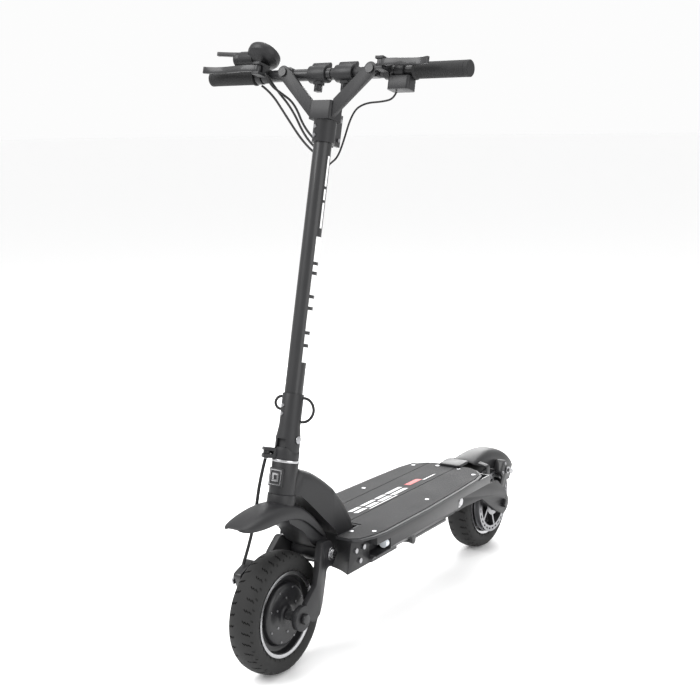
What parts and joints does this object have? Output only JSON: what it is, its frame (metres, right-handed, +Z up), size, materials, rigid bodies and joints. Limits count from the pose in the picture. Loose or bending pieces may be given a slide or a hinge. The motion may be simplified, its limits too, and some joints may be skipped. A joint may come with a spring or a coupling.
{
  "type": "electric kick scooter",
  "caption": "Folding electric kick scooter with hub-motor wheels on sprung arms, disc brakes, a battery deck and folding handlebar halves",
  "frame": {"origin": "centre of the bounding box's bottom face, on the ground", "axes": "+X points forward, +Y to the rider's left, +Z up along the stem"},
  "size_m": [1.182, 0.636, 1.2819],
  "materials": {
    "frame_black": "satin powder coat",
    "casting_black": "satin painted casting",
    "deck_grey": "fine matte texture",
    "mat_black": "fine grip texture",
    "tyre_black": "moulded rubber",
    "hub_black": "satin",
    "bright_steel": "brushed",
    "bolt_steel": "polished",
    "grip_rubber": "ribbed",
    "plastic_black": "fine grain",
    "cable_black": "smooth jacket",
    "lens_clear": "clear",
    "lens_red": "red",
    "battery_wrap": "shrink wrap",
    "badge_silver": "satin"
  },
  "bodies": {
    "deck": {"neck_frame": "casting_black", "head_bearings": "bright_steel", "deck_tray": "frame_black", "deck_plate": "deck_grey", "deck_mat": "mat_black", "deck_screws": "bolt_steel", "power_pack": "battery_wrap", "deck_lights": "lens_clear", "rear_handle": "plastic_black"},
    "steering_fork": {"fork": "casting_black", "front_fender": "plastic_black", "fold_base": "casting_black", "fold_hardware": "bolt_steel", "brake_hose_front": "cable_black"},
    "latch": {"clamp_lever": "casting_black"},
    "front_swing": {"front_arms": "casting_black", "front_axle": "frame_black", "front_pivot_bolts": "bright_steel", "front_caliper": "frame_black"},
    "front_caliper_lever": {"front_caliper_arm": "bolt_steel"},
    "front_wheel": {"front_tyre": "tyre_black", "front_hub": "hub_black", "front_brake_disc": "bright_steel"},
    "stem": {"stem_sleeve": "casting_black", "stem_tube": "frame_black", "stem_clamp": "casting_black", "riser_arms": "casting_black", "stem_bolts": "bolt_steel", "cable_loops": "cable_black", "control_cables": "cable_black", "switch_wire": "cable_black"},
    "left_bar": {"bar_left": "frame_black", "grip_left": "grip_rubber", "collar_left": "casting_black", "perch_left": "casting_black", "switch_housing": "plastic_black"},
    "right_bar": {"bar_right": "frame_black", "grip_right": "grip_rubber", "collar_right": "casting_black", "perch_right": "casting_black", "display_housing": "plastic_black", "display_window": "lens_clear"},
    "left_lever": {"brake_lever_left": "frame_black"},
    "right_lever": {"brake_lever_right": "frame_black"},
    "left_knob": {"knob_left": "plastic_black"},
    "right_knob": {"knob_right": "plastic_black"},
    "light_switch": {"light_button": "plastic_black"},
    "horn_switch": {"horn_button": "plastic_black"},
    "mode_switch": {"mode_button": "plastic_black"},
    "trigger": {"throttle_trigger": "plastic_black"},
    "rear_swing": {"rear_arms": "casting_black", "rear_axle": "frame_black", "rear_pivot_bolts": "bright_steel", "rear_caliper": "frame_black", "rear_fender": "plastic_black"},
    "rear_caliper_lever": {"rear_caliper_arm": "bolt_steel"},
    "rear_wheel": {"rear_tyre": "tyre_black", "rear_hub": "hub_black", "rear_brake_disc": "bright_steel"},
    "stand": {"kickstand": "frame_black"}
  },
  "joints": [
    {"name": "steering", "type": "hinge", "parent": "deck", "child": "steering_fork", "pos_m": [0.42105, 0, 0.40484], "axis": [-0.2351, 0, 0.972], "range_deg": [-40, 40]},
    {"name": "front_suspension", "type": "hinge", "parent": "steering_fork", "child": "front_swing", "pos_m": [0.329, 0, 0.222], "axis": [0, -1, 0], "range_deg": [-1.5, 6], "stiffness_Nm_per_rad": 1800, "deforming": ["brake_hose_front"]},
    {"name": "front_wheel_spin", "type": "hinge", "parent": "front_swing", "child": "front_wheel", "pos_m": [0.459, 0, 0.127], "axis": [0, 1, 0], "continuous": true},
    {"name": "rear_suspension", "type": "hinge", "parent": "deck", "child": "rear_swing", "pos_m": [-0.189, 0, 0.198], "axis": [0, 1, 0], "range_deg": [-1.5, 6], "stiffness_Nm_per_rad": 3000},
    {"name": "rear_wheel_spin", "type": "hinge", "parent": "rear_swing", "child": "rear_wheel", "pos_m": [-0.438, 0, 0.127], "axis": [0, 1, 0], "continuous": true},
    {"name": "stem_fold", "type": "hinge", "parent": "steering_fork", "child": "stem", "pos_m": [0.40283, 0, 0.48017], "axis": [0, -1, 0], "range_deg": [0, 80]},
    {"name": "latch_turn", "type": "hinge", "parent": "steering_fork", "child": "latch", "pos_m": [0.44217, -0.02586, 0.45831], "axis": [-0.2351, 0, 0.972], "range_deg": [0, 100]},
    {"name": "left_bar_fold", "type": "hinge", "parent": "stem", "child": "left_bar", "pos_m": [0.22589, 0.107, 1.21157], "axis": [-0.972, 0, -0.2351], "range_deg": [0, 70], "deforming": ["switch_wire"]},
    {"name": "right_bar_fold", "type": "hinge", "parent": "stem", "child": "right_bar", "pos_m": [0.22589, -0.107, 1.21157], "axis": [0.972, 0, 0.2351], "range_deg": [0, 70], "deforming": ["control_cables"]},
    {"name": "left_brake", "type": "hinge", "parent": "left_bar", "child": "left_lever", "pos_m": [0.2534, 0.136, 1.22543], "axis": [-0.2351, 0, 0.972], "range_deg": [0, 10], "stiffness_Nm_per_rad": 0.6, "springref_deg": -8.59},
    {"name": "right_brake", "type": "hinge", "parent": "right_bar", "child": "right_lever", "pos_m": [0.2534, -0.168, 1.22543], "axis": [0.2351, 0, -0.972], "range_deg": [0, 7.5], "stiffness_Nm_per_rad": 0.6, "springref_deg": -8.59},
    {"name": "rear_caliper_turn", "type": "hinge", "parent": "rear_swing", "child": "rear_caliper_lever", "pos_m": [-0.47931, 0.066, 0.2047], "axis": [0, 1, 0], "range_deg": [0, 20]},
    {"name": "front_caliper_turn", "type": "hinge", "parent": "front_swing", "child": "front_caliper_lever", "pos_m": [0.49196, -0.06, 0.20859], "axis": [0, -1, 0], "range_deg": [0, 15]},
    {"name": "left_knob_turn", "type": "hinge", "parent": "left_bar", "child": "left_knob", "pos_m": [0.22614, 0.033, 1.18076], "axis": [-0.2351, 0, 0.972], "continuous": true},
    {"name": "right_knob_turn", "type": "hinge", "parent": "right_bar", "child": "right_knob", "pos_m": [0.22614, -0.033, 1.18076], "axis": [-0.2351, 0, 0.972], "continuous": true},
    {"name": "light_press", "type": "slide", "parent": "left_bar", "child": "light_switch", "axis": [0.972, 0, 0.2351], "range_m": [0, 0.001], "stiffness_N_per_m": 400, "springref_m": -0.001},
    {"name": "horn_press", "type": "slide", "parent": "left_bar", "child": "horn_switch", "axis": [0.972, 0, 0.2351], "range_m": [0, 0.001], "stiffness_N_per_m": 400, "springref_m": -0.001},
    {"name": "mode_press", "type": "slide", "parent": "right_bar", "child": "mode_switch", "axis": [0.972, 0, 0.2351], "range_m": [0, 0.001], "stiffness_N_per_m": 400, "springref_m": -0.001},
    {"name": "throttle_pull", "type": "hinge", "parent": "right_bar", "child": "trigger", "pos_m": [0.21695, -0.243, 1.2485], "axis": [0, 1, 0], "range_deg": [0, 30], "stiffness_Nm_per_rad": 0.15, "springref_deg": -11.46},
    {"name": "stand_fold", "type": "hinge", "parent": "deck", "child": "stand", "pos_m": [0.065, 0.084, 0.18], "axis": [0, -1, 0], "range_deg": [0, 100]}
  ],
  "couplings": [
    {"joint": "rear_caliper_turn", "follows": "left_brake", "ratio": 2},
    {"joint": "front_caliper_turn", "follows": "right_brake", "ratio": 2}
  ]
}
